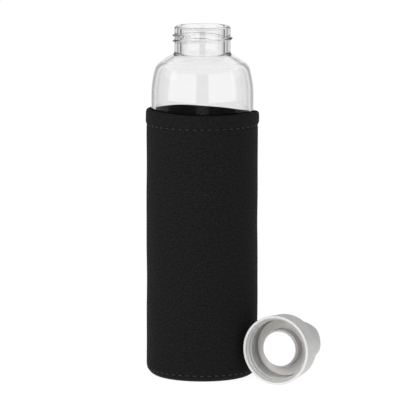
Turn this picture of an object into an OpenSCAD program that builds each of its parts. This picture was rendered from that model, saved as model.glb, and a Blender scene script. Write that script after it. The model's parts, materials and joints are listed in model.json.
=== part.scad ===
// Glass water bottle in a neoprene sleeve, with its screw cap lying beside it.
// Millimetres, +Z up. The origin is on the bottle's axis, on the surface that the sleeve stands on.

/* [Bottle] */
// Height of the glass from its foot to its lip
bottle_h = 221; // [200:1:240]
// Outside radius of the glass body
body_r = 32.5; // [31:0.5:34]
// Glass thickness in the body
glass_t = 2.4; // [2:0.1:3]
// Outside radius of the neck between the threads
neck_r = 17.8; // [17.2:0.1:18]
// Radius of the bore through the neck
bore_r = 13.4; // [13:0.1:14]

/* [Thread] */
// Rise of the thread in one turn
thread_pitch = 3.6; // [3.2:0.1:4]
// How far the thread stands out from the neck
thread_h = 1.3; // [0.9:0.1:1.3]
// Angle that the thread covers, in degrees
thread_sweep = 546; // [400:10:600]

/* [Sleeve] */
// Height of the sleeve
sleeve_h = 169.5; // [150:0.5:172]
// Thickness of the neoprene wall
sleeve_t = 2.6; // [2:0.1:3]
// Height of the hem
hem_h = 7.2; // [5:0.2:10]
// Number of stitches round the hem and round the base
stitch_count = 46; // [30:1:60]

/* [Cap] */
// Outside radius of the cap at its mouth
cap_r = 22.1; // [21.8:0.1:22.5]
// Depth of the cap shell from mouth to top
cap_h = 18.8; // [18:0.1:20]
// Height of the cap with its handle
handle_top = 37.6; // [36:0.2:42]
// Angle of the cap's axis from +Y towards +X as it lies
cap_heading = 23.5; // [15:0.5:30]

/* [Hidden] */
$fn = 96;

// Shared fits
soft_gap = 0.3;          // between the glass and the neoprene
run_gap = 0.08;          // between the cap's spigot and the plug that turns on it
thread_step = 21;        // angle of one level piece of a thread

// Glass, heights above its foot
foot_round = 10;         // outside radius of the foot's edge
foot_ring_r = 20;        // inside radius of the ring that the glass stands on
punt_h = 1.8;            // rise of the hollow under the foot
floor_t = 5;             // glass thickness at the bottom
floor_round = 7;         // inside radius of the bottom's edge
shoulder_z = bottle_h - 44;   // where the body starts to curve in
shoulder_big_r = 61;     // long gentle arc that starts the shoulder
shoulder_big_a = 15;     // angle of that arc
shoulder_r = 10;         // tight arc of the shoulder
shoulder_end_a = 60;     // where the tight arc runs into the sloping top
root_r = 2.5;            // hollow fillet where the neck starts
lip_r = 1.5;             // rounding of the lip
bore_edge_r = 3;         // rounding at the lower end of the bore

// Sleeve
base_t = 3;              // thickness of the bottom panel, which carries the glass
inner_r = body_r + soft_gap;
outer_r = inner_r + sleeve_t;
corner_r = 7.7;          // outside radius of the sleeve's lower edge
inner_corner_r = 7.3;
seam_z = 4.6;            // height of the seam between bottom panel and tube
hem_z = sleeve_h - hem_h;
hem_bulge = 0.6;         // how far the hem stands out
hem_round = 1.5;         // rounding of the hem's edges
stitch_r = 0.3;          // radius of the sewing thread
stitch_fill = 0.6;       // part of each stitch's pitch that shows
back_pitch = 4.5;        // height of one stitch of the back seam
back_lean = 35;          // slope of those stitches from the vertical

// Cap, heights measured from its mouth towards its handle
cap_wall_r = neck_r + thread_h + 0.4; // inside radius of the skirt
cap_far_r = 20.8;        // outside radius where the skirt meets the top
cap_edge_r = 1.4;        // rounding of the top edge
rim_r = 0.6;             // rounding of the rim
rim_t = 1.5;             // wall thickness at the mouth, where the skirt is widest inside
lead_z = 1.8;            // depth at which the skirt starts to narrow
deck_t = 2.3;            // thickness of the cap's top
deck_z = cap_h - deck_t;
inside_edge_r = 1.2;     // fillet between skirt and top, inside
ridge_start_z = 4.2;     // where the cap's own thread starts
ridge_sweep = 483;       // angle that it covers
spigot_r = 6;            // hollow spigot that holds the plug
spigot_bore_r = 4.4;
spigot_z = 10.4;         // end of the spigot
plug_r = 12;
plug_face_z = 8.2;       // outer face of the plug's end
plug_t = 1.3;            // plastic thickness of the plug
plug_end_z = deck_z - 0.2;
disc_r = 11.1;
disc_t = 1.5;
gasket_t = 1.3;
gasket_r = cap_wall_r - inside_edge_r - 0.1;
gasket_lip_w = 1;        // raised inner lip of the gasket
gasket_lip_h = 0.8;
handle_a = 16.5;         // half length of the handle
handle_b = 14;           // half width of the handle
handle_point = 18.5;     // half length of its two side arcs, before the ends are rounded
handle_turn = -10;       // turn of the handle about the cap's axis
handle_edge_r = 3;       // rounding of the handle's top edge
handle_foot_t = 2;       // plate that joins the handle's two legs
crown_t = 4;             // thickness of the handle's crown
grip_a = 11.5;           // half length of the finger hole
grip_r = 4;              // rounding of the finger hole

// The cap lies on its rim beside the sleeve
cap_place = [46.3, -40.1, cap_r];

// Points on an arc about (cx, cy), from angle a0 to angle a1
function arc(cx, cy, r, a0, a1, n = 10) =
    [for (i = [0:n]) let (a = a0 + (a1 - a0) * i / n) [cx + r * cos(a), cy + r * sin(a)]];

// The shoulder, as seen in section, for a surface set in by t from the outside
function shoulder(t, n = 10) =
    let (
        big_x = body_r - shoulder_big_r,
        x = big_x + (shoulder_big_r - shoulder_r) * cos(shoulder_big_a),
        z = shoulder_z + (shoulder_big_r - shoulder_r) * sin(shoulder_big_a)
    )
    concat(
        arc(big_x, shoulder_z, shoulder_big_r - t, 0, shoulder_big_a, n),
        arc(x, z, shoulder_r - t, shoulder_big_a + 3, shoulder_end_a, n));

// Height of the centre of a fillet of radius r, at distance x from the axis, that touches the sloping top
function fillet_z(x, t, r, n = 10) =
    let (end = shoulder(t)[2 * n + 1])
    end[1] + (r - (x - end[0]) * cos(shoulder_end_a)) / sin(shoulder_end_a);

// A thread: level pieces of one section, each a little higher and further round than the last
module thread(section, sweep) {
    for (a = [0:thread_step:sweep - thread_step])
        translate([0, 0, thread_pitch * a / 360]) rotate([0, 0, a])
            rotate_extrude(angle = thread_step + 0.3) polygon(section);
}

// Moves a shape from the cap's own frame, mouth down on its origin, to where the cap lies
module lay_cap() {
    translate(cap_place) rotate([0, 0, -cap_heading]) rotate([-90, 0, 0]) children();
}

// A ring of curved stitches at one radius and height
module stitch_ring(r, z) {
    step = 360 / stitch_count;
    for (i = [0:stitch_count - 1])
        rotate([0, 0, i * step]) translate([0, 0, z])
            rotate_extrude(angle = step * stitch_fill) translate([r, 0]) circle(stitch_r, $fn = 16);
}

module glass_bottle() {
    root_x = neck_r + root_r;
    root_z = fillet_z(root_x, 0, root_r);
    edge_x = bore_r + bore_edge_r;
    edge_z = fillet_z(edge_x, glass_t, bore_edge_r);
    outside = concat(
        [[0, punt_h], [foot_ring_r - 6, punt_h * 0.7], [foot_ring_r, 0]],
        arc(body_r - foot_round, foot_round, foot_round, -90, 0),
        shoulder(0),
        arc(root_x, root_z, root_r, 180 + shoulder_end_a, 180, 6),
        arc(neck_r - lip_r, bottle_h - lip_r, lip_r, 0, 90, 6));
    inside = concat(
        arc(bore_r + lip_r, bottle_h - lip_r, lip_r, 90, 180, 6),
        arc(edge_x, edge_z, bore_edge_r, 180, 180 + shoulder_end_a, 6),
        [for (i = [len(shoulder(0)) - 1:-1:0]) shoulder(glass_t)[i]],
        arc(body_r - glass_t - floor_round, floor_t + floor_round, floor_round, 0, -90),
        [[0, floor_t + 0.6]]);
    half = thread_pitch * 0.33;
    crest = thread_pitch * 0.13;
    bead = [
        [neck_r - 0.4, -half], [neck_r + thread_h * 0.6, -half * 0.8], [neck_r + thread_h, -crest],
        [neck_r + thread_h, crest], [neck_r + thread_h * 0.6, half * 0.8], [neck_r - 0.4, half]];
    color([0.86, 0.91, 0.92, 0.35])
        translate([0, 0, base_t]) {
            rotate_extrude() polygon(concat(outside, inside));
            translate([0, 0, bottle_h - 10.8]) rotate([0, 0, 60]) thread(bead, thread_sweep);
        }
}

module sleeve_wall() {
    seam_a = asin((seam_z - corner_r) / corner_r);
    inner_a = asin((seam_z - base_t - inner_corner_r) / inner_corner_r);
    color([0.09, 0.09, 0.1])
        rotate_extrude() polygon(concat(
            arc(outer_r - corner_r, corner_r, corner_r, seam_a, 0),
            [[outer_r, hem_z], [inner_r, hem_z]],
            arc(inner_r - inner_corner_r, base_t + inner_corner_r, inner_corner_r, 0, inner_a)));
}

module sleeve_base() {
    seam_a = asin((seam_z - corner_r) / corner_r);
    inner_a = asin((seam_z - base_t - inner_corner_r) / inner_corner_r);
    color([0.09, 0.09, 0.1])
        rotate_extrude() polygon(concat(
            [[0, 0]],
            arc(outer_r - corner_r, corner_r, corner_r, -90, seam_a),
            arc(inner_r - inner_corner_r, base_t + inner_corner_r, inner_corner_r, inner_a, -90),
            [[0, base_t]]));
}

module sleeve_hem() {
    edge_r = outer_r + hem_bulge;
    color([0.1, 0.1, 0.11])
        rotate_extrude() polygon(concat(
            [[inner_r, hem_z]],
            arc(edge_r - 0.8, hem_z + 0.8, 0.8, -90, 0, 5),
            arc(edge_r - hem_round, sleeve_h - hem_round, hem_round, 0, 90, 6),
            arc(inner_r + hem_round, sleeve_h - hem_round, hem_round, 90, 180, 6)));
}

module hem_stitching() {
    color([0.2, 0.2, 0.22]) stitch_ring(outer_r + stitch_r + 0.02, hem_z - 0.6);
}

module base_stitching() {
    seam_x = outer_r - corner_r + sqrt(corner_r * corner_r - (corner_r - seam_z) * (corner_r - seam_z));
    color([0.2, 0.2, 0.22]) stitch_ring(seam_x + stitch_r + 0.05, seam_z);
}

module back_seam_stitching() {
    first_z = corner_r + 2;
    count = floor((hem_z - 3 - first_z) / back_pitch);
    stitch_l = back_pitch * 0.8;
    color([0.2, 0.2, 0.22])
        for (i = [0:count - 1])
            translate([0, outer_r + stitch_r + 0.08, first_z + (i + 0.5) * back_pitch])
                rotate([0, back_lean, 0]) cylinder(h = stitch_l, r = stitch_r, center = true, $fn = 16);
}

module cap_shell() {
    mouth_r = cap_r - rim_t;
    outside = concat(
        [[cap_wall_r, lead_z + mouth_r - cap_wall_r], [mouth_r, lead_z]],
        arc(mouth_r + rim_r, rim_r, rim_r, 180, 270, 5),
        arc(cap_r - rim_r, rim_r, rim_r, -90, 0, 5),
        arc(cap_far_r - cap_edge_r, cap_h - cap_edge_r, cap_edge_r, 0, 90, 8));
    inside = concat(
        [[0, cap_h], [0, deck_z], [spigot_bore_r, deck_z], [spigot_bore_r, spigot_z],
            [spigot_r, spigot_z], [spigot_r, deck_z]],
        arc(cap_wall_r - inside_edge_r, deck_z - inside_edge_r, inside_edge_r, 90, 0, 4));
    half = thread_pitch * 0.3;
    crest = thread_pitch * 0.1;
    tip = neck_r + 0.35;
    tooth = [
        [cap_wall_r + 0.4, -half], [cap_wall_r + 0.4, half], [tip + 0.5, half * 0.8],
        [tip, crest], [tip, -crest], [tip + 0.5, -half * 0.8]];
    color([0.66, 0.67, 0.68])
        lay_cap() {
            rotate_extrude() polygon(concat(outside, inside));
            translate([0, 0, ridge_start_z]) thread(tooth, ridge_sweep);
        }
}

// The handle's plan: two wide arcs, cut to rounded ends by a body of revolution with a rounded top edge
module handle_block(h) {
    side_r = (handle_point * handle_point + handle_b * handle_b) / (2 * handle_b);
    intersection() {
        translate([0, side_r - handle_b, 0]) cylinder(h = h, r = side_r);
        translate([0, handle_b - side_r, 0]) cylinder(h = h, r = side_r);
        rotate_extrude() polygon(concat(
            [[0, 0], [handle_a, 0]],
            arc(handle_a - handle_edge_r, h - handle_edge_r, handle_edge_r, 0, 90, 8),
            [[0, h]]));
    }
}

module carry_handle() {
    grip_z = cap_h + handle_foot_t;
    grip_top = handle_top - crown_t;
    color([0.66, 0.67, 0.68])
        lay_cap() rotate([0, 0, handle_turn]) difference() {
            translate([0, 0, cap_h]) handle_block(handle_top - cap_h);
            rotate([90, 0, 0]) linear_extrude(4 * handle_b, center = true)
                polygon(concat(
                    [[-grip_a, grip_z], [grip_a, grip_z]],
                    arc(grip_a - grip_r, grip_top - grip_r, grip_r, 0, 90, 6),
                    arc(grip_r - grip_a, grip_top - grip_r, grip_r, 90, 180, 6)));
        }
}

module seal_plug() {
    bush_r = spigot_r + run_gap;
    color([0.72, 0.73, 0.74])
        lay_cap() rotate_extrude() polygon([
            [0, plug_face_z], [plug_r - 0.4, plug_face_z], [plug_r, plug_face_z + 0.4], [plug_r, plug_end_z],
            [plug_r - plug_t, plug_end_z], [plug_r - plug_t, plug_face_z + plug_t],
            [bush_r + plug_t, plug_face_z + plug_t], [bush_r + plug_t, plug_end_z], [bush_r, plug_end_z],
            [bush_r, plug_face_z + plug_t], [0, plug_face_z + plug_t]]);
}

module seal_disc() {
    color([0.97, 0.97, 0.96])
        lay_cap() rotate_extrude() polygon(concat(
            [[0, plug_face_z - disc_t]],
            arc(disc_r - 0.5, plug_face_z - disc_t + 0.5, 0.5, -90, 0, 4),
            [[disc_r, plug_face_z], [0, plug_face_z]]));
}

module seal_gasket() {
    hole_r = plug_r + 0.05;
    face_z = deck_z - 0.1 - gasket_t;
    color([0.8, 0.8, 0.79])
        lay_cap() rotate_extrude() polygon([
            [hole_r, face_z - gasket_lip_h], [hole_r + gasket_lip_w, face_z - gasket_lip_h],
            [hole_r + gasket_lip_w, face_z], [gasket_r, face_z], [gasket_r, face_z + gasket_t],
            [hole_r, face_z + gasket_t]]);
}

glass_bottle();
sleeve_wall();
sleeve_base();
sleeve_hem();
hem_stitching();
base_stitching();
back_seam_stitching();
cap_shell();
carry_handle();
seal_plug();
seal_disc();
seal_gasket();
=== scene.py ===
"""Glass water bottle in a black neoprene sleeve, with its grey screw cap lying beside it.

Everything is in metres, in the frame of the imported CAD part. Each CAD node is stood for by a finer mesh,
whose place and main sizes are read from the node's box or from the record.
"""

import json
from math import asin, cos, degrees, hypot, pi, radians, sin, sqrt

import bmesh
import bpy
from mathutils import Matrix, Vector


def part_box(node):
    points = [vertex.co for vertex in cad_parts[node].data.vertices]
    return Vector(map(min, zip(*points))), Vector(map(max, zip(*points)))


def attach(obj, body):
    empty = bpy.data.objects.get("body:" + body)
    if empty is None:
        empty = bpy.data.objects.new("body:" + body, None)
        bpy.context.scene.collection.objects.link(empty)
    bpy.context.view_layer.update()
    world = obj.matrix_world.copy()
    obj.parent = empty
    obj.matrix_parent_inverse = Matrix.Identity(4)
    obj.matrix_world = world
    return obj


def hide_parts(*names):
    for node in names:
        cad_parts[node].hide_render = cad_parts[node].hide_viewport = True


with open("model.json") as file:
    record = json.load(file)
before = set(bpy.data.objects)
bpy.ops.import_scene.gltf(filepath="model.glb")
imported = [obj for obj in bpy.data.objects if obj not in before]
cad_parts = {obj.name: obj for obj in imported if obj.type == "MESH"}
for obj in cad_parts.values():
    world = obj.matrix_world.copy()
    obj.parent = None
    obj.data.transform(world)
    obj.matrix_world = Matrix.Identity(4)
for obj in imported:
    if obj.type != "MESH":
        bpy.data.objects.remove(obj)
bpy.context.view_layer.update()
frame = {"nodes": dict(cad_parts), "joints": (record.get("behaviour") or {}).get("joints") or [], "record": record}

MM = 0.001
FULL = 2 * pi

# ---------------------------------------------------------------- sizes that come from the frame

glass_lo, glass_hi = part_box("glass_bottle")
BODY_R = glass_hi.x
FOOT_Z = glass_lo.z
LIP_Z = glass_hi.z
MOUNTS = {m["name"]: m for m in frame["record"]["mounts"]}
BORE_R = MOUNTS["neck_bore"]["dims"]["r_mm"] * MM

WALL_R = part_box("sleeve_wall")[1].x
SEAM_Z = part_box("sleeve_base")[1].z
HEM_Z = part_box("sleeve_hem")[0].z
HEM_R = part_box("sleeve_hem")[1].x
SLEEVE_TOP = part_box("sleeve_hem")[1].z
BACK_SEAM_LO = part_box("back_seam_stitching")[0].z
BACK_SEAM_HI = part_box("back_seam_stitching")[1].z

cap_joint = next(j for j in frame["joints"] if j["name"] == "cap_turn")
CAP_OUT = -Vector(cap_joint["axis"]).normalized()  # from the cap's mouth to its handle
CAP_DOWN = Vector((0, 0, -1))
CAP_SIDE = CAP_DOWN.cross(CAP_OUT)
CAP_LAY = Matrix.Translation(cap_joint["pos_m"]) @ Matrix((CAP_SIDE, CAP_DOWN, CAP_OUT)).transposed().to_4x4()


def cap_span(node):
    """A cap node's radius, and its first and last depth from the cap's mouth."""
    back = CAP_LAY.inverted()
    points = [back @ v.co for v in frame["nodes"][node].data.vertices]
    depths = [p.z for p in points]
    return max(hypot(p.x, p.y) for p in points), min(depths), max(depths)


CAP_R, _, CAP_H = cap_span("cap_shell")
HANDLE_A, _, HANDLE_TOP = cap_span("carry_handle")
PLUG_R, PLUG_FACE, PLUG_END = cap_span("seal_plug")
DISC_R, DISC_FACE, _ = cap_span("seal_disc")
GASKET_R, GASKET_FACE, GASKET_END = cap_span("seal_gasket")

# ---------------------------------------------------------------- mesh helpers


def arc(x, z, r, a0, a1, n=10):
    """Points (x, z) on an arc, between two angles in degrees."""
    steps = [radians(a0 + (a1 - a0) * i / n) for i in range(n + 1)]
    return [(x + r * cos(a), z + r * sin(a)) for a in steps]


def line(p, q, n):
    """n points from p up to, but not including, q."""
    return [(p[0] + (q[0] - p[0]) * i / n, p[1] + (q[1] - p[1]) * i / n) for i in range(n)]


def bump(x, width):
    """A smooth hill of height 1 and half width `width` about x = 0."""
    t = abs(x) / width
    return 0.0 if t >= 1 else (1 - t * t) ** 2


def plateau(x, flat, width):
    """A hill with a flat top of half width `flat`, which falls to 0 at `width`."""
    t = (abs(x) - flat) / (width - flat)
    if t <= 0:
        return 1.0
    return 0.0 if t >= 1 else 0.5 + 0.5 * cos(pi * t)


def finish_mesh(name, bm, material, sharp=40, place=None):
    """Makes an object of a bmesh, smooth apart from edges sharper than the given angle."""
    bmesh.ops.recalc_face_normals(bm, faces=bm.faces[:])
    mesh = bpy.data.meshes.new(name)
    bm.to_mesh(mesh)
    bm.free()
    mesh.shade_smooth()
    mesh.set_sharp_from_angle(angle=radians(sharp))
    mesh.materials.append(material)
    piece = bpy.data.objects.new(name, mesh)
    bpy.context.scene.collection.objects.link(piece)
    if place is not None:
        piece.matrix_world = place
    return piece


def lathe(name, profile, material, steps=192, warp=None, sharp=40, place=None):
    """Turns a closed profile of (radius, height) about Z. warp(radius, height, angle) may move each point.
    The map "cloth" holds lengths in metres: round the axis, and along the profile."""
    bm = bmesh.new()
    along = [0.0]
    for p, q in zip(profile, profile[1:] + profile[:1]):
        along.append(along[-1] + hypot(q[0] - p[0], q[1] - p[1]))
    rings = []
    for r, z in profile:
        if r < 1e-7:
            rings.append([bm.verts.new((0, 0, z))] * steps)
            continue
        ring = []
        for i in range(steps):
            a = FULL * i / steps
            rr, zz = warp(r, z, a) if warp else (r, z)
            ring.append(bm.verts.new((rr * cos(a), rr * sin(a), zz)))
        rings.append(ring)
    cloth = bm.loops.layers.uv.new("cloth")
    width = max(r for r, _ in profile) * FULL
    count = len(profile)
    for k in range(count):
        one, two = rings[k], rings[(k + 1) % count]
        if profile[k][0] < 1e-7 and profile[(k + 1) % count][0] < 1e-7:
            continue
        for i in range(steps):
            j = (i + 1) % steps
            corners = [(one[i], i, 0), (one[j], i + 1, 0), (two[j], i + 1, 1), (two[i], i, 1)]
            seen, kept = set(), []
            for c in corners:
                if c[0] not in seen:
                    seen.add(c[0])
                    kept.append(c)
            face = bm.faces.new([c[0] for c in kept])
            for loop, c in zip(face.loops, kept):
                loop[cloth].uv = (width * c[1] / steps, along[k + c[2]])
    return finish_mesh(name, bm, material, sharp, place)


def tube(bm, path, radii, sides=8, up=Vector((0, 0, 1))):
    """Adds a closed tube along a path of points, with one radius for each point."""
    rings = []
    for i, p in enumerate(path):
        ahead = (path[min(i + 1, len(path) - 1)] - path[max(i - 1, 0)]).normalized()
        side = ahead.cross(up).normalized()
        top = side.cross(ahead)
        turns = [FULL * k / sides for k in range(sides)]
        rings.append([bm.verts.new(p + (side * cos(a) + top * sin(a)) * radii[i]) for a in turns])
    for one, two in zip(rings, rings[1:]):
        for k in range(sides):
            bm.faces.new((one[k], one[(k + 1) % sides], two[(k + 1) % sides], two[k]))
    bm.faces.new(rings[0])
    bm.faces.new(rings[-1])


# ---------------------------------------------------------------- material helpers


def new_material(name):
    material = bpy.data.materials.new(name)
    material.use_nodes = True
    nodes = material.node_tree.nodes
    return material, nodes, material.node_tree.links, nodes["Principled BSDF"]


def node(nodes, kind, **values):
    """A shader node. A value whose name starts with in_ goes to that input, counted from 0 or by name."""
    made = nodes.new(kind)
    for key, value in values.items():
        if key.startswith("in_"):
            slot = key[3:]
            made.inputs[int(slot) if slot.isdigit() else slot.replace("_", " ")].default_value = value
        else:
            setattr(made, key, value)
    return made


def grey_ramp(nodes, links, source, low, high, dark, light):
    """Maps a value from low..high to a colour from dark to light."""
    ramp = nodes.new("ShaderNodeValToRGB")
    ramp.color_ramp.elements[0].position = low
    ramp.color_ramp.elements[0].color = (*dark, 1)
    ramp.color_ramp.elements[1].position = high
    ramp.color_ramp.elements[1].color = (*light, 1)
    links.new(source, ramp.inputs["Fac"])
    return ramp.outputs["Color"]


def glass_material():
    """Clear glass with faint moulding waves."""
    material, nodes, links, shader = new_material("clear_glass")
    shader.inputs["Base Color"].default_value = (0.99, 0.99, 0.99, 1)
    shader.inputs["Transmission Weight"].default_value = 1
    shader.inputs["IOR"].default_value = 1.47
    shader.inputs["Roughness"].default_value = 0.0
    place = node(nodes, "ShaderNodeTexCoord")
    waves = node(nodes, "ShaderNodeTexNoise", in_Scale=35, in_Detail=1)
    links.new(place.outputs["Object"], waves.inputs["Vector"])
    relief = node(nodes, "ShaderNodeBump", in_Strength=0.05, in_Distance=0.0004)
    links.new(waves.outputs["Fac"], relief.inputs["Height"])
    links.new(relief.outputs["Normal"], shader.inputs["Normal"])
    absorb = node(nodes, "ShaderNodeVolumeAbsorption", in_Color=(0.33, 0.33, 0.325, 1), in_Density=28)
    links.new(absorb.outputs["Volume"], nodes["Material Output"].inputs["Volume"])
    return material


def neoprene_material():
    """Black knit jersey over foam: fine stitches in rows and columns, a speckled grain, a little sheen."""
    material, nodes, links, shader = new_material("neoprene_knit")
    shader.inputs["Roughness"].default_value = 0.85
    shader.inputs["Sheen Weight"].default_value = 0.012
    shader.inputs["Sheen Roughness"].default_value = 0.4
    shader.inputs["Specular IOR Level"].default_value = 0.06
    place = node(nodes, "ShaderNodeUVMap", uv_map="cloth")
    rows = node(nodes, "ShaderNodeTexWave", wave_type="BANDS", bands_direction="Y", in_Scale=330,
                in_Distortion=1.5, in_Detail=1, in_Detail_Scale=2)
    columns = node(nodes, "ShaderNodeTexWave", wave_type="BANDS", bands_direction="X", in_Scale=420,
                   in_Distortion=1.2, in_Detail=1, in_Detail_Scale=2)
    fuzz = node(nodes, "ShaderNodeTexNoise", in_Scale=900, in_Detail=3)
    specks = node(nodes, "ShaderNodeTexNoise", in_Scale=650, in_Detail=4, in_Roughness=0.7)
    for texture in (rows, columns, fuzz, specks):
        links.new(place.outputs["UV"], texture.inputs["Vector"])
    knit = node(nodes, "ShaderNodeMath", operation="MULTIPLY")
    links.new(rows.outputs["Fac"], knit.inputs[0])
    links.new(columns.outputs["Fac"], knit.inputs[1])
    height = node(nodes, "ShaderNodeMath", operation="MULTIPLY_ADD", in_1=0.5)
    links.new(fuzz.outputs["Fac"], height.inputs[0])
    links.new(knit.outputs["Value"], height.inputs[2])
    relief = node(nodes, "ShaderNodeBump", in_Strength=0.6, in_Distance=0.00012)
    links.new(height.outputs["Value"], relief.inputs["Height"])
    links.new(relief.outputs["Normal"], shader.inputs["Normal"])
    mixed = node(nodes, "ShaderNodeMath", operation="MULTIPLY_ADD", in_1=0.35)
    links.new(knit.outputs["Value"], mixed.inputs[0])
    links.new(specks.outputs["Fac"], mixed.inputs[2])
    dark, light = (0.002, 0.002, 0.0021), (0.018, 0.018, 0.0185)
    colour = grey_ramp(nodes, links, mixed.outputs["Value"], 0.3, 0.95, dark, light)
    links.new(colour, shader.inputs["Base Color"])
    return material


def thread_material():
    """Black sewing thread with a twist."""
    material, nodes, links, shader = new_material("sewing_thread")
    shader.inputs["Roughness"].default_value = 0.5
    shader.inputs["Specular IOR Level"].default_value = 0.3
    place = node(nodes, "ShaderNodeTexCoord")
    strands = node(nodes, "ShaderNodeTexWave", bands_direction="DIAGONAL", in_Scale=900, in_Distortion=1)
    links.new(place.outputs["Object"], strands.inputs["Vector"])
    dark, light = (0.014, 0.014, 0.015), (0.042, 0.042, 0.044)
    colour = grey_ramp(nodes, links, strands.outputs["Fac"], 0.2, 0.9, dark, light)
    links.new(colour, shader.inputs["Base Color"])
    relief = node(nodes, "ShaderNodeBump", in_Strength=0.5, in_Distance=0.0001)
    links.new(strands.outputs["Fac"], relief.inputs["Height"])
    links.new(relief.outputs["Normal"], shader.inputs["Normal"])
    return material


def plastic_material(name, dark, light, roughness, clearness=0.0, painted_rim_highlight=None):
    """Satin moulded plastic with a fine spark-eroded grain and faint flow marks.
    The rim colour is a painted highlight: a lighter colour on the thin edge at the mouth, standing in for the
    light that edge catches and lets through."""
    material, nodes, links, shader = new_material(name)
    shader.inputs["IOR"].default_value = 1.49
    shader.inputs["Subsurface Weight"].default_value = clearness
    shader.inputs["Subsurface Radius"].default_value = (0.004, 0.004, 0.004)
    shader.inputs["Subsurface Scale"].default_value = 1.0
    place = node(nodes, "ShaderNodeTexCoord")
    flow = node(nodes, "ShaderNodeTexNoise", in_Scale=60, in_Detail=3, in_Distortion=0.6)
    grain = node(nodes, "ShaderNodeTexNoise", in_Scale=2600, in_Detail=2)
    for texture in (flow, grain):
        links.new(place.outputs["Object"], texture.inputs["Vector"])
    colour = grey_ramp(nodes, links, flow.outputs["Fac"], 0.3, 0.7, dark, light)
    # Painted highlight: the mouth's thin edge, from local depth 0.9 mm down to 0.5 mm and less, is blended to a
    # lighter colour.
    if painted_rim_highlight:
        split = node(nodes, "ShaderNodeSeparateXYZ")
        links.new(place.outputs["Object"], split.inputs["Vector"])
        edge = node(nodes, "ShaderNodeMapRange", in_1=0.9 * MM, in_2=0.5 * MM)
        links.new(split.outputs["Z"], edge.inputs["Value"])
        painted_highlight_blend = node(nodes, "ShaderNodeMixRGB", in_Color2=(*painted_rim_highlight, 1))
        links.new(edge.outputs["Result"], painted_highlight_blend.inputs["Fac"])
        links.new(colour, painted_highlight_blend.inputs["Color1"])
        colour = painted_highlight_blend.outputs["Color"]
    links.new(colour, shader.inputs["Base Color"])
    rough = node(nodes, "ShaderNodeMapRange", in_3=roughness - 0.06, in_4=roughness + 0.06)
    links.new(flow.outputs["Fac"], rough.inputs["Value"])
    links.new(rough.outputs["Result"], shader.inputs["Roughness"])
    relief = node(nodes, "ShaderNodeBump", in_Strength=0.25, in_Distance=0.00004)
    links.new(grain.outputs["Fac"], relief.inputs["Height"])
    links.new(relief.outputs["Normal"], shader.inputs["Normal"])
    return material


# ---------------------------------------------------------------- the glass bottle

GLASS_T = 2.4 * MM
FOOT_ROUND = 10 * MM
FLOOR_T = 5 * MM
FLOOR_ROUND = 7 * MM
SHOULDER_Z = LIP_Z - 44 * MM
SHOULDER_BIG_R = 61 * MM
SHOULDER_BIG_A = 15
SHOULDER_R = 10 * MM
SHOULDER_END_A = 60
NECK_R = 17.8 * MM
ROOT_R = 2.5 * MM
LIP_R = 1.5 * MM
BORE_EDGE_R = 3 * MM
THREAD_PITCH = 3.6 * MM
THREAD_H = 1.3 * MM
THREAD_LOW = LIP_Z - 10.8 * MM
THREAD_FROM = 60
THREAD_SWEEP = 546


def shoulder(inset):
    """The shoulder's section: a long gentle arc, then a tight one."""
    x0 = BODY_R - SHOULDER_BIG_R
    reach = SHOULDER_BIG_R - SHOULDER_R
    x = x0 + reach * cos(radians(SHOULDER_BIG_A))
    z = SHOULDER_Z + reach * sin(radians(SHOULDER_BIG_A))
    return (arc(x0, SHOULDER_Z, SHOULDER_BIG_R - inset, 0, SHOULDER_BIG_A, 14)
            + arc(x, z, SHOULDER_R - inset, SHOULDER_BIG_A + 2, SHOULDER_END_A, 18))


def fillet_z(x, inset, r):
    """Height of the centre of a fillet at radius x that touches the shoulder's sloping top."""
    end = shoulder(inset)[-1]
    a = radians(SHOULDER_END_A)
    return end[1] + (r - (x - end[0]) * cos(a)) / sin(a)


def glass_thread(r, z, a):
    """Raises the neck's surface along a right-handed helix that fades in and out."""
    if abs(r - NECK_R) > 0.01 * MM:
        return r, z
    out = 0.0
    for turn in range(3):
        travelled = degrees(a) - THREAD_FROM + 360 * turn
        if 0 <= travelled <= THREAD_SWEEP:
            fade = min(1, travelled / 30, (THREAD_SWEEP - travelled) / 30)
            crest_z = THREAD_LOW + THREAD_PITCH * travelled / 360
            out = max(out, fade * plateau(z - crest_z, 0.25 * MM, 1.0 * MM))
    return r + THREAD_H * out, z


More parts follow.
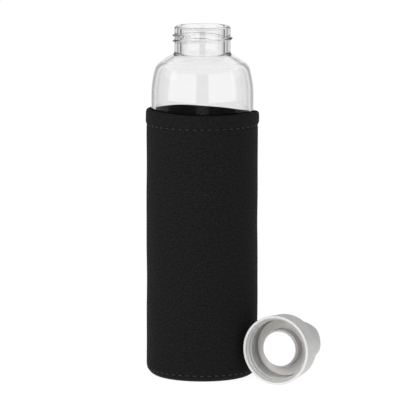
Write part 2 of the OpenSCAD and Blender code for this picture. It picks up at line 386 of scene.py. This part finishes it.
def glass_profile():
    root_x = NECK_R + ROOT_R
    root_z = fillet_z(root_x, 0, ROOT_R)
    edge_x = BORE_R + BORE_EDGE_R
    edge_z = fillet_z(edge_x, GLASS_T, BORE_EDGE_R)
    punt = [(0, FOOT_Z + 1.8 * MM), (8 * MM, FOOT_Z + 1.6 * MM), (14 * MM, FOOT_Z + 1.1 * MM),
            (18 * MM, FOOT_Z + 0.3 * MM)]
    foot = arc(BODY_R - FOOT_ROUND, FOOT_Z + FOOT_ROUND, FOOT_ROUND, -90, 0, 14)
    outside = (punt + [(20 * MM, FOOT_Z)] + foot
               + line((BODY_R, FOOT_Z + FOOT_ROUND), (BODY_R, SHOULDER_Z), 24)[1:]
               + shoulder(0) + arc(root_x, root_z, ROOT_R, 180 + SHOULDER_END_A, 180, 10)
               + line((NECK_R, root_z), (NECK_R, LIP_Z - LIP_R), 60)[1:]
               + arc(NECK_R - LIP_R, LIP_Z - LIP_R, LIP_R, 0, 90, 10))
    inner_r = BODY_R - GLASS_T
    floor_z = FOOT_Z + FLOOR_T
    inside = (arc(BORE_R + LIP_R, LIP_Z - LIP_R, LIP_R, 90, 180, 10)
              + line((BORE_R, LIP_Z - LIP_R), (BORE_R, edge_z), 12)[1:]
              + arc(edge_x, edge_z, BORE_EDGE_R, 180, 180 + SHOULDER_END_A, 10)
              + shoulder(GLASS_T)[::-1]
              + line((inner_r, SHOULDER_Z), (inner_r, floor_z + FLOOR_ROUND), 24)[1:]
              + arc(inner_r - FLOOR_ROUND, floor_z + FLOOR_ROUND, FLOOR_ROUND, 0, -90, 12)
              + [(12 * MM, floor_z + 0.3 * MM), (0, floor_z + 0.6 * MM)])
    return outside + inside


def make_glass():
    piece = lathe("glass_body", glass_profile(), glass_material(), steps=240, warp=glass_thread, sharp=60)
    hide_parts("glass_bottle")
    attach(piece, "bottle")


# ---------------------------------------------------------------- the neoprene sleeve

CLOTH_GAP = 0.3 * MM
CORNER_R = 7.7 * MM
INNER_CORNER_R = 7.3 * MM
BASE_T = 3 * MM
INNER_R = BODY_R + CLOTH_GAP
STITCHES = 46
STITCH_R = 0.28 * MM
HEM_STITCH_Z = HEM_Z - 0.6 * MM
# Waves of the rim: how many go round, height in mm, phase in degrees
RIM_WAVES = ((1, 1.31, 133), (2, 0.54, 54), (3, 0.32, 57))
BACK_PITCH = 4.5 * MM


def slack(z, a):
    """How far the cloth stands off its mean surface: slow waves, and a pucker at every stitch of the hem."""
    waves = 0.10 * sin(3 * a + 40 * z) + 0.07 * sin(5 * a - 95 * z + 1.3) + 0.05 * sin(2 * a + 170 * z + 0.4)
    pull = bump(z - HEM_STITCH_Z, 2.2 * MM) * (0.30 + 0.18 * cos(STITCHES * a))
    seam = bump(z - SEAM_Z, 1.6 * MM) * (0.22 + 0.12 * cos(STITCHES * a))
    back = bump(a - pi / 2, 0.045) * 0.35
    calm = min(1, max(0, (z - SEAM_Z) / (12 * MM)))
    return (waves * calm - pull - seam - back) * MM


def loosen(r, z, a):
    """Moves the outer face of the cloth only."""
    return (r + slack(z, a), z) if r > INNER_R + 1.2 * MM else (r, z)


def corner_x(z):
    """Outer radius of the sleeve's rounded lower edge at a height."""
    return WALL_R - CORNER_R + sqrt(max(0, CORNER_R ** 2 - (CORNER_R - z) ** 2))


def corner_angle(z, r):
    """Angle on a lower edge of radius r, at a height above the edge's lowest point, in degrees."""
    return degrees(asin((z - r) / r))


def make_wall(cloth):
    seam_a = corner_angle(SEAM_Z, CORNER_R)
    inner_a = corner_angle(SEAM_Z - BASE_T, INNER_CORNER_R)
    fine_z = HEM_STITCH_Z - 5 * MM
    outside = (arc(WALL_R - CORNER_R, CORNER_R, CORNER_R, seam_a, 0, 8)
               + line((WALL_R, CORNER_R), (WALL_R, fine_z), 90)[1:]
               + line((WALL_R, fine_z), (WALL_R, HEM_Z), 16)
               + [(WALL_R - 0.15 * MM, HEM_Z + 0.4 * MM), (INNER_R + 0.6 * MM, HEM_Z + 0.4 * MM)])
    inside = (line((INNER_R, HEM_Z), (INNER_R, BASE_T + INNER_CORNER_R), 40)
              + arc(INNER_R - INNER_CORNER_R, BASE_T + INNER_CORNER_R, INNER_CORNER_R, 0, inner_a, 6))
    piece = lathe("sleeve_tube", outside + inside, cloth, steps=368, warp=loosen)
    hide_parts("sleeve_wall")
    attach(piece, "sleeve")
    return piece


def make_base(cloth):
    seam_a = corner_angle(SEAM_Z, CORNER_R)
    inner_a = corner_angle(SEAM_Z - BASE_T, INNER_CORNER_R)
    flat_r = WALL_R - CORNER_R
    profile = ([(0, 0)] + line((4 * MM, 0), (flat_r, 0), 8)
               + arc(flat_r, CORNER_R, CORNER_R, -90, seam_a - 2, 10)
               + arc(INNER_R - INNER_CORNER_R, BASE_T + INNER_CORNER_R, INNER_CORNER_R, inner_a, -90, 6)
               + [(12 * MM, BASE_T), (0, BASE_T)])
    piece = lathe("sleeve_bottom_panel", profile, cloth, steps=368, warp=loosen)
    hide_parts("sleeve_base")
    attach(piece, "sleeve")
    return piece


def rim_rise(a):
    """How much higher than the CAD's level rim the pulled-up cloth is at an angle."""
    return (0.62 + sum(h * cos(n * a + radians(phase)) for n, h, phase in RIM_WAVES) + 0.1 * sin(7 * a)) * MM


def hem_shape(r, z, a):
    """The folded hem leans with the rim's height and puckers between its stitches."""
    t = (z - HEM_Z) / (SLEEVE_TOP - HEM_Z)
    low = max(0, 1 - t * 3)
    out = (0.14 * sin(4 * a + 0.7) + 0.10 * sin(9 * a + 2) + 0.12 * low * cos(STITCHES * a)) * MM
    outer = r > INNER_R + 1.4 * MM
    return r + (out * min(1, 2.5 * t + 0.2) if outer else 0), z + rim_rise(a) * t * t * (3 - 2 * t)


def make_hem(cloth):
    top_r = 1.4 * MM    # rounding of the fold's inner edge
    fold_r = 1.8 * MM   # rounding of its outer edge
    foot_r = 0.9 * MM   # rounding of its lower edge
    outside = ([(WALL_R - 0.5 * MM, HEM_Z - 0.25 * MM)]
               + arc(HEM_R - foot_r, HEM_Z + 0.75 * MM, foot_r, -80, -8, 6)
               + line((HEM_R, HEM_Z + 1.2 * MM), (HEM_R - 0.1 * MM, SLEEVE_TOP - fold_r), 8)
               + arc(HEM_R - 0.1 * MM - fold_r, SLEEVE_TOP - fold_r, fold_r, 0, 90, 10)
               + arc(INNER_R + top_r, SLEEVE_TOP - top_r, top_r, 100, 180, 8))
    inside = line((INNER_R, SLEEVE_TOP - top_r), (INNER_R, HEM_Z), 10)[1:] + [(INNER_R + 0.6 * MM, HEM_Z)]
    piece = lathe("sleeve_rolled_hem", outside + inside, cloth, steps=368, warp=hem_shape, sharp=70)
    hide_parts("sleeve_hem")
    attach(piece, "sleeve")
    return piece


def stitch_row(name, node_name, radius, z, thread, lean=0.0):
    """A ring of short stitches, each an arched thread whose ends dip into the cloth."""
    bm = bmesh.new()
    step = FULL / STITCHES
    for i in range(STITCHES):
        path, radii = [], []
        for k in range(9):
            t = k / 8 * 2 - 1
            a = step * (i + 0.5 + 0.27 * t)
            r = radius + (0.22 - 0.5 * t ** 4) * MM
            path.append(Vector((r * cos(a), r * sin(a), z + lean * t * MM)))
            radii.append(STITCH_R * (1 - 0.35 * t ** 4))
        tube(bm, path, radii)
    piece = finish_mesh(name, bm, thread, sharp=80)
    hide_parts(node_name)
    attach(piece, "sleeve")
    return piece


def make_back_seam(thread):
    """Slanted stitches up the back of the tube, and the same inside the hem, where the glass shows them."""
    bm = bmesh.new()
    count = round((BACK_SEAM_HI - BACK_SEAM_LO) / BACK_PITCH)
    rows = [(BACK_SEAM_LO + (i + 0.5) * BACK_PITCH, WALL_R - 0.28 * MM, 1) for i in range(count)]
    rows += [(SLEEVE_TOP - (i + 0.75) * 3 * MM, INNER_R + 0.32 * MM, -1) for i in range(5)]
    for z, y, face in rows:
        path, radii = [], []
        half_x = 1.05 * MM if face > 0 else 2.2 * MM
        for k in range(9):
            t = k / 4 - 1
            x = half_x * t
            lift = face * (0.26 - 0.45 * t ** 4) * MM
            path.append(Vector((x, sqrt(y * y - x * x) + lift, z + 1.5 * MM * t)))
            radii.append(STITCH_R * (1 - 0.3 * t ** 4))
        tube(bm, path, radii, up=Vector((0, 1, 0)))
    piece = finish_mesh("back_seam_stitches", bm, thread, sharp=80)
    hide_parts("back_seam_stitching")
    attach(piece, "sleeve")
    return piece


def make_sleeve():
    cloth = neoprene_material()
    thread = thread_material()
    wall = make_wall(cloth)
    base = make_base(cloth)
    hem = make_hem(cloth)
    hem_row = stitch_row("hem_stitches", "hem_stitching", WALL_R - 0.25 * MM, HEM_STITCH_Z, thread)
    base_row = stitch_row("base_stitches", "base_stitching", corner_x(SEAM_Z) - 0.2 * MM, SEAM_Z, thread)
    back_row = make_back_seam(thread)


# ---------------------------------------------------------------- the cap

SKIRT_R = 19.5 * MM      # inside radius of the skirt
SKIRT_FAR_R = 20.8 * MM  # outside radius where the skirt meets the top
SKIRT_FILLET = 1.2 * MM  # fillet between skirt and top, inside
CAP_EDGE_R = 1.4 * MM
MOUTH_T = 1.5 * MM       # wall thickness at the mouth
LEAD_Z = 1.8 * MM        # depth at which the skirt starts to narrow
RIM_R = 0.6 * MM
DECK_T = 2.3 * MM
SPIGOT_R = 6 * MM
SPIGOT_END = 10.4 * MM
RIDGE_START = 4.2 * MM
RIDGE_SWEEP = 483
RIDGE_H = 0.8 * MM
HANDLE_B = 14 * MM
HANDLE_POINT = 18.5 * MM
HANDLE_TURN = radians(-10)
HANDLE_EDGE_R = 2.6 * MM
HANDLE_FOOT_T = 2 * MM
CROWN_T = 4 * MM
GASKET_LIP = 1 * MM      # width of the gasket's raised inner lip
GRIP_A = 11.5 * MM
GRIP_R = 4 * MM


def cap_thread(r, z, a):
    """Raises the inside of the skirt along a helix."""
    if abs(r - SKIRT_R) > 0.01 * MM:
        return r, z
    out = 0.0
    for turn in range(3):
        travelled = degrees(a) + 360 * turn
        if travelled <= RIDGE_SWEEP:
            fade = min(1, travelled / 25, (RIDGE_SWEEP - travelled) / 25)
            crest_z = RIDGE_START + THREAD_PITCH * travelled / 360
            out = max(out, fade * plateau(z - crest_z, 0.3 * MM, 1.0 * MM))
    return r - RIDGE_H * out, z


def make_shell(plastic):
    deck_z = CAP_H - DECK_T
    mouth_r = CAP_R - MOUTH_T
    outside = (arc(mouth_r + RIM_R, RIM_R, RIM_R, 180, 270, 8)
               + arc(CAP_R - RIM_R, RIM_R, RIM_R, -90, 0, 8)
               + line((CAP_R, RIM_R), (SKIRT_FAR_R, CAP_H - CAP_EDGE_R), 12)[1:]
               + arc(SKIRT_FAR_R - CAP_EDGE_R, CAP_H - CAP_EDGE_R, CAP_EDGE_R, 0, 90, 10)
               + [(8 * MM, CAP_H)])
    spigot_in = SPIGOT_R - 1.6 * MM
    inside = ([(0, CAP_H), (0, deck_z), (spigot_in, deck_z), (spigot_in, SPIGOT_END), (SPIGOT_R, SPIGOT_END),
               (SPIGOT_R, deck_z)]
              + arc(SKIRT_R - SKIRT_FILLET, deck_z - SKIRT_FILLET, SKIRT_FILLET, 90, 0, 6)
              + line((SKIRT_R, deck_z - SKIRT_FILLET), (SKIRT_R, LEAD_Z + mouth_r - SKIRT_R), 70)[1:]
              + line((SKIRT_R, LEAD_Z + mouth_r - SKIRT_R), (mouth_r, LEAD_Z), 3) + [(mouth_r, LEAD_Z)])
    piece = lathe("cap_moulded_shell", outside + inside, plastic, steps=240, warp=cap_thread, place=CAP_LAY)
    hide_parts("cap_shell")
    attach(piece, "cap")


def prism(name, outline, lo, hi, across):
    """A closed solid of an outline between two depths. across(u, v, d) says where each point goes."""
    bm = bmesh.new()
    ends = [[bm.verts.new(across(u, v, d)) for u, v in outline] for d in (lo, hi)]
    count = len(outline)
    for i in range(count):
        j = (i + 1) % count
        bm.faces.new((ends[0][i], ends[0][j], ends[1][j], ends[1][i]))
    bm.faces.new(ends[0])
    bm.faces.new(ends[1])
    bmesh.ops.recalc_face_normals(bm, faces=bm.faces[:])
    mesh = bpy.data.meshes.new(name)
    bm.to_mesh(mesh)
    bm.free()
    solid = bpy.data.objects.new(name, mesh)
    bpy.context.scene.collection.objects.link(solid)
    return solid


def handle_plan(inset, count=96):
    """The handle's plan: two wide arcs whose pointed ends are cut by a circle, set in by inset."""
    side_r = (HANDLE_POINT ** 2 + HANDLE_B ** 2) / (2 * HANDLE_B)
    points = []
    for i in range(count):
        a = FULL * i / count
        far, near = HANDLE_A, 0.0
        for _ in range(40):
            r = (far + near) / 2
            inside = hypot(r * cos(a), abs(r * sin(a)) + side_r - HANDLE_B) < side_r
            near, far = (r, far) if inside else (near, r)
        points.append(((near - inset) * cos(a), (near - inset) * sin(a)))
    return points


def apply_modifiers(piece):
    """Bakes a piece's modifiers into its mesh."""
    graph = bpy.context.evaluated_depsgraph_get()
    mesh = bpy.data.meshes.new_from_object(piece.evaluated_get(graph))
    piece.modifiers.clear()
    piece.data = mesh


def make_handle(plastic):
    """An oval block with a rounded top and a finger hole through it, its edges softened."""
    bm = bmesh.new()
    levels = [(CAP_H - 0.3 * MM, 0.0)]
    levels += [(HANDLE_TOP - HANDLE_EDGE_R * (1 - sin(a)), HANDLE_EDGE_R * (1 - cos(a)))
               for a in (radians(9 * k) for k in range(11))]
    rings = [[bm.verts.new((u, v, z)) for u, v in handle_plan(inset)] for z, inset in levels]
    for one, two in zip(rings, rings[1:]):
        for i in range(len(one)):
            j = (i + 1) % len(one)
            bm.faces.new((one[i], one[j], two[j], two[i]))
    bm.faces.new(rings[0])
    bm.faces.new(rings[-1])
    piece = finish_mesh("handle_arch", bm, plastic)
    grip_z, grip_top = CAP_H + HANDLE_FOOT_T, HANDLE_TOP - CROWN_T
    hole = prism("hole", [(-GRIP_A, grip_z), (GRIP_A, grip_z)]
                 + arc(GRIP_A - GRIP_R, grip_top - GRIP_R, GRIP_R, 0, 90, 10)
                 + arc(GRIP_R - GRIP_A, grip_top - GRIP_R, GRIP_R, 90, 180, 10),
                 -2 * HANDLE_B, 2 * HANDLE_B, lambda u, v, d: (u, d, v))
    cut = piece.modifiers.new("cut", "BOOLEAN")
    cut.operation, cut.object = "DIFFERENCE", hole
    skin = piece.modifiers.new("skin", "REMESH")
    skin.mode, skin.voxel_size = "VOXEL", 0.35 * MM
    soften = piece.modifiers.new("soften", "SMOOTH")
    soften.factor, soften.iterations = 0.5, 8
    apply_modifiers(piece)
    bpy.data.objects.remove(hole)
    piece.data.shade_smooth()
    piece.data.transform(Matrix.Rotation(HANDLE_TURN, 4, "Z"))
    piece.matrix_world = CAP_LAY
    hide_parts("carry_handle")
    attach(piece, "cap")


def make_seal(plastic):
    bush_r = SPIGOT_R + 0.08 * MM
    wall = 1.3 * MM
    floor = PLUG_FACE + wall
    cup = ([(0, PLUG_FACE)] + arc(PLUG_R - 0.5 * MM, PLUG_FACE + 0.5 * MM, 0.5 * MM, -90, 0, 6)
           + [(PLUG_R, PLUG_END), (PLUG_R - wall, PLUG_END), (PLUG_R - wall, floor), (bush_r + wall, floor),
              (bush_r + wall, PLUG_END), (bush_r, PLUG_END), (bush_r, floor), (0, floor)])
    plug = lathe("plug_cup", cup, plastic, place=CAP_LAY)
    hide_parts("seal_plug")

    white = plastic_material("white_silicone", (0.93, 0.93, 0.92), (0.97, 0.97, 0.96), 0.5, 0.1)
    face = ([(0, DISC_FACE)] + arc(DISC_R - 0.5 * MM, DISC_FACE + 0.5 * MM, 0.5 * MM, -90, 0, 8)
            + [(DISC_R, PLUG_FACE), (0, PLUG_FACE)])
    disc = lathe("silicone_disc", face, white, place=CAP_LAY)
    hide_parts("seal_disc")

    soft = plastic_material("gasket_silicone", (0.72, 0.70, 0.67), (0.78, 0.76, 0.73), 0.55, 0.2)
    edge = 0.3 * MM
    hole_r = PLUG_R + 0.05 * MM
    ring = (arc(hole_r + edge, GASKET_FACE + edge, edge, 180, 270, 5)
            + arc(hole_r + GASKET_LIP - edge, GASKET_FACE + edge, edge, -90, 0, 5)
            + [(hole_r + GASKET_LIP, GASKET_FACE + 0.8 * MM), (GASKET_R, GASKET_FACE + 0.8 * MM),
               (GASKET_R, GASKET_END), (hole_r, GASKET_END)])
    gasket = lathe("flat_gasket", ring, soft, place=CAP_LAY)
    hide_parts("seal_gasket")
    for piece in (plug, disc, gasket):
        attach(piece, "seal")


def make_cap():
    grey = (0.47, 0.47, 0.465), (0.55, 0.545, 0.54)
    plastic = plastic_material("silver_grey_plastic", *grey, 0.4, 0.6)
    # The shell's mouth edge gets a painted highlight colour.
    make_shell(plastic_material("silver_grey_shell", *grey, 0.4, 0.6, painted_rim_highlight=(0.66, 0.66, 0.65)))
    make_handle(plastic)
    make_seal(plastic)


# ---------------------------------------------------------------- camera, floor and light

CAMERA_AWAY = 3.03
CAMERA_PITCH = radians(8)
CAMERA_ROLL = radians(0.1)
VIEW_SIDE = -1.4 * MM    # the aim's place beside the bottle's axis
VIEW_MIDDLE = 112.4 * MM
LENS = 428


def make_camera():
    data = bpy.data.cameras.new("camera")
    data.lens = LENS
    data.sensor_width = 36
    data.clip_end = 60
    camera = bpy.data.objects.new("camera", data)
    bpy.context.scene.collection.objects.link(camera)
    aim = Vector((VIEW_SIDE, 0, VIEW_MIDDLE))
    away = Vector((0, -cos(CAMERA_PITCH), sin(CAMERA_PITCH)))
    turn = away.to_track_quat("Z", "Y").to_matrix().to_4x4()
    roll = Matrix.Rotation(CAMERA_ROLL, 4, "Z")
    camera.matrix_world = Matrix.Translation(aim + away * CAMERA_AWAY) @ turn @ roll
    bpy.context.scene.camera = camera


def make_floor():
    bm = bmesh.new()
    bmesh.ops.create_circle(bm, cap_ends=True, radius=60, segments=96)
    mesh = bpy.data.meshes.new("floor")
    bm.to_mesh(mesh)
    bm.free()
    floor = bpy.data.objects.new("floor", mesh)
    bpy.context.scene.collection.objects.link(floor)
    material, _, _, shader = new_material("pale_floor")
    shader.inputs["Base Color"].default_value = (0.12, 0.12, 0.12, 1)
    shader.inputs["Roughness"].default_value = 0.9
    shader.inputs["Specular IOR Level"].default_value = 0.0
    shader.inputs["Emission Color"].default_value = (1, 1, 1, 1)
    shader.inputs["Emission Strength"].default_value = 0.94
    mesh.materials.append(material)


CARD_AWAY = 0.6
CARD_LOW = 0.002
CARD_STEP = 0.114        # the reflection of this height falls on the rim of the sleeve's far side
CARD_HIGH = 0.55


def make_card(name, start, end, low, high, light):
    """A curved studio card round the object, between two angles off the camera's side and two heights.
    Only reflections show it. Whatever passes straight through the glass meets plain white."""
    bm = bmesh.new()
    steps = max(2, int((end - start) / 4))
    turns = [radians(start + (end - start) * i / steps - 90) for i in range(steps + 1)]
    rows = [[bm.verts.new((CARD_AWAY * cos(a), CARD_AWAY * sin(a), z)) for a in turns] for z in (low, high)]
    for i in range(steps):
        bm.faces.new((rows[0][i], rows[0][i + 1], rows[1][i + 1], rows[1][i]))
    mesh = bpy.data.meshes.new(name)
    bm.to_mesh(mesh)
    bm.free()
    card = bpy.data.objects.new(name, mesh)
    bpy.context.scene.collection.objects.link(card)
    card.visible_camera = card.visible_diffuse = card.visible_shadow = card.visible_volume_scatter = False
    material = bpy.data.materials.new(name)
    material.use_nodes = True
    nodes, links = material.node_tree.nodes, material.node_tree.links
    nodes.clear()
    path = node(nodes, "ShaderNodeLightPath")
    bounced = node(nodes, "ShaderNodeMath", operation="GREATER_THAN", in_1=0.5)
    strength = node(nodes, "ShaderNodeMapRange", in_3=1.0, in_4=light)
    glow = node(nodes, "ShaderNodeEmission")
    output = node(nodes, "ShaderNodeOutputMaterial")
    links.new(path.outputs["Glossy Depth"], bounced.inputs[0])
    links.new(bounced.outputs["Value"], strength.inputs["Value"])
    links.new(strength.outputs["Result"], glow.inputs["Strength"])
    links.new(glow.outputs["Emission"], output.inputs["Surface"])
    mesh.materials.append(material)


def soft_box(name, place, aim, size, power):
    data = bpy.data.lights.new(name, "AREA")
    data.shape = "RECTANGLE"
    data.size, data.size_y = size
    data.energy = power
    lamp = bpy.data.objects.new(name, data)
    bpy.context.scene.collection.objects.link(lamp)
    lamp.location = place
    lamp.rotation_mode = "QUATERNION"
    lamp.rotation_quaternion = (Vector(aim) - Vector(place)).to_track_quat("-Z", "Y")
    lamp.visible_glossy = lamp.visible_transmission = False


# Studio cards on each side: name, first and last angle off the camera's side, two heights, light
CARDS = (
    ("near_card", 0, 14, CARD_STEP, CARD_HIGH, 0.05),
    ("near_foot_card", 0, 14, CARD_LOW, CARD_STEP, 0.25),
    ("bright_card", 14, 82, CARD_STEP, CARD_HIGH, 1.8),
    ("foot_card", 14, 82, CARD_LOW, CARD_STEP, 0.08),
    ("side_card", 82, 134, CARD_LOW, CARD_HIGH, 0.3),
    ("edge_card", 143, 164, CARD_LOW, CARD_HIGH, 0.5))


def make_light():
    world = bpy.data.worlds.new("studio")
    bpy.context.scene.world = world
    world.use_nodes = True
    nodes, links = world.node_tree.nodes, world.node_tree.links
    path = node(nodes, "ShaderNodeLightPath")
    plain = node(nodes, "ShaderNodeMath", operation="MAXIMUM")
    links.new(path.outputs["Is Camera Ray"], plain.inputs[0])
    links.new(path.outputs["Is Singular Ray"], plain.inputs[1])
    strength = node(nodes, "ShaderNodeMapRange", in_3=0.55, in_4=1.0)
    links.new(plain.outputs["Value"], strength.inputs["Value"])
    nodes["Background"].inputs["Color"].default_value = (1, 1, 1, 1)
    links.new(strength.outputs["Result"], nodes["Background"].inputs["Strength"])
    for side in (-1, 1):
        for name, start, end, low, high, light in CARDS:
            turn = sorted((side * start, side * end))
            make_card(name + ("_left" if side < 0 else "_right"), *turn, low, high, light)
    soft_box("left_box", (-1.1, -1.3, 1.0), (0, 0, 0.1), (0.9, 1.2), 19)
    soft_box("right_box", (1.2, -0.9, 0.8), (0, 0, 0.1), (0.8, 1.2), 3)


make_camera()
make_glass()
make_sleeve()
make_cap()
make_floor()
make_light()
bpy.context.scene.view_settings.view_transform = "Standard"
